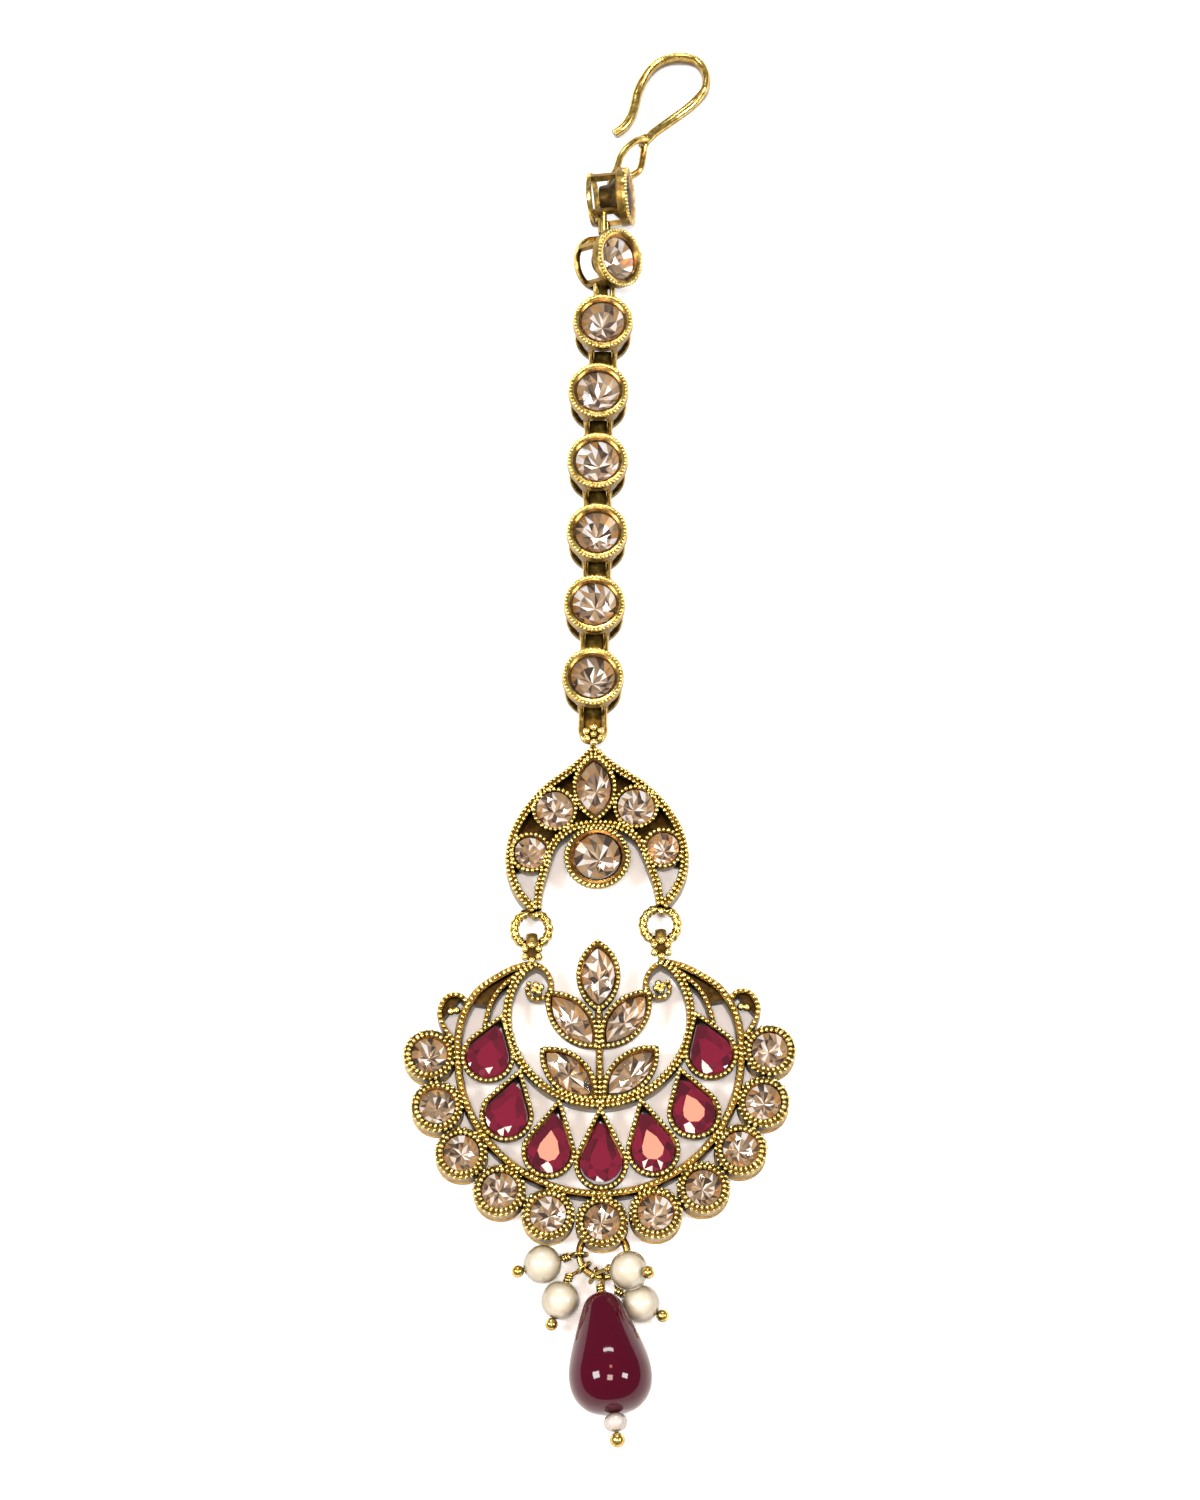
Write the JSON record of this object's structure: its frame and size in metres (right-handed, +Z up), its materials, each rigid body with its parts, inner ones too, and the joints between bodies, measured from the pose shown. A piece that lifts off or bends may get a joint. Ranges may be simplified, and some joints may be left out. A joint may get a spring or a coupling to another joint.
{
  "type": "maang tikka",
  "caption": "Forehead jewel: hair hook, chain of stone-set links, crescent, broad half-moon pendant with ruby pears, and a cluster of pearls round a drop bead. Lies face up.",
  "frame": {"origin": "middle of the whole jewel's footprint, on the surface that it lies on", "axes": "+Z up, out of the jewel's face; +Y along the jewel from the drop bead to the hair hook; +X to the right of someone who looks at its face"},
  "size_m": [0.0396, 0.156, 0.0081],
  "materials": {
    "gold": "antique gold plate on cast brass, polished on the high points and dark in the recesses",
    "wire_gold": "polished gold-plated wire",
    "champagne_crystal": "cut champagne crystal with a foiled back",
    "ruby_glass": "cut ruby glass with a foiled back",
    "drop_glass": "smooth deep red glass",
    "imitation_pearl": "ivory pearl lacquer with a soft lustre"
  },
  "bodies": {
    "root": {"chain_link_1": "gold", "chain_link_2": "gold", "chain_link_3": "gold", "chain_link_4": "gold", "chain_link_5": "gold", "chain_link_6": "gold", "chain_link_7": "gold", "chain_link_8": "gold", "chain_stone_1": "champagne_crystal", "chain_stone_2": "champagne_crystal", "chain_stone_3": "champagne_crystal", "chain_stone_4": "champagne_crystal", "chain_stone_5": "champagne_crystal", "chain_stone_6": "champagne_crystal", "chain_stone_7": "champagne_crystal", "chain_stone_8": "champagne_crystal", "hair_hook": "wire_gold", "crescent_frame": "gold", "crescent_stone_left": "champagne_crystal", "crescent_stone_upper_left": "champagne_crystal", "crescent_stone_upper_right": "champagne_crystal", "crescent_stone_right": "champagne_crystal", "crescent_stone_big": "champagne_crystal", "crescent_stone_leaf": "champagne_crystal", "pendant_frame": "gold", "rim_stone_1": "champagne_crystal", "rim_stone_2": "champagne_crystal", "rim_stone_3": "champagne_crystal", "rim_stone_4": "champagne_crystal", "rim_stone_5": "champagne_crystal", "rim_stone_6": "champagne_crystal", "rim_stone_7": "champagne_crystal", "rim_stone_8": "champagne_crystal", "rim_stone_9": "champagne_crystal", "rim_stone_10": "champagne_crystal", "rim_stone_11": "champagne_crystal", "pear_stone_1": "ruby_glass", "pear_stone_2": "ruby_glass", "pear_stone_3": "ruby_glass", "pear_stone_4": "ruby_glass", "pear_stone_5": "ruby_glass", "pear_stone_6": "ruby_glass", "pear_stone_7": "ruby_glass", "leaf_stone_lower_left": "champagne_crystal", "leaf_stone_lower_right": "champagne_crystal", "leaf_stone_upper_left": "champagne_crystal", "leaf_stone_upper_right": "champagne_crystal", "leaf_stone_top": "champagne_crystal", "drop_jump_ring": "wire_gold", "pearl_left": "imitation_pearl", "pearl_pin_left": "wire_gold", "pearl_lower_left": "imitation_pearl", "pearl_pin_lower_left": "wire_gold", "pearl_right": "imitation_pearl", "pearl_pin_right": "wire_gold", "pearl_lower_right": "imitation_pearl", "pearl_pin_lower_right": "wire_gold", "drop_bead": "drop_glass", "seed_pearl": "imitation_pearl", "drop_pin": "wire_gold"}
  },
  "joints": []
}
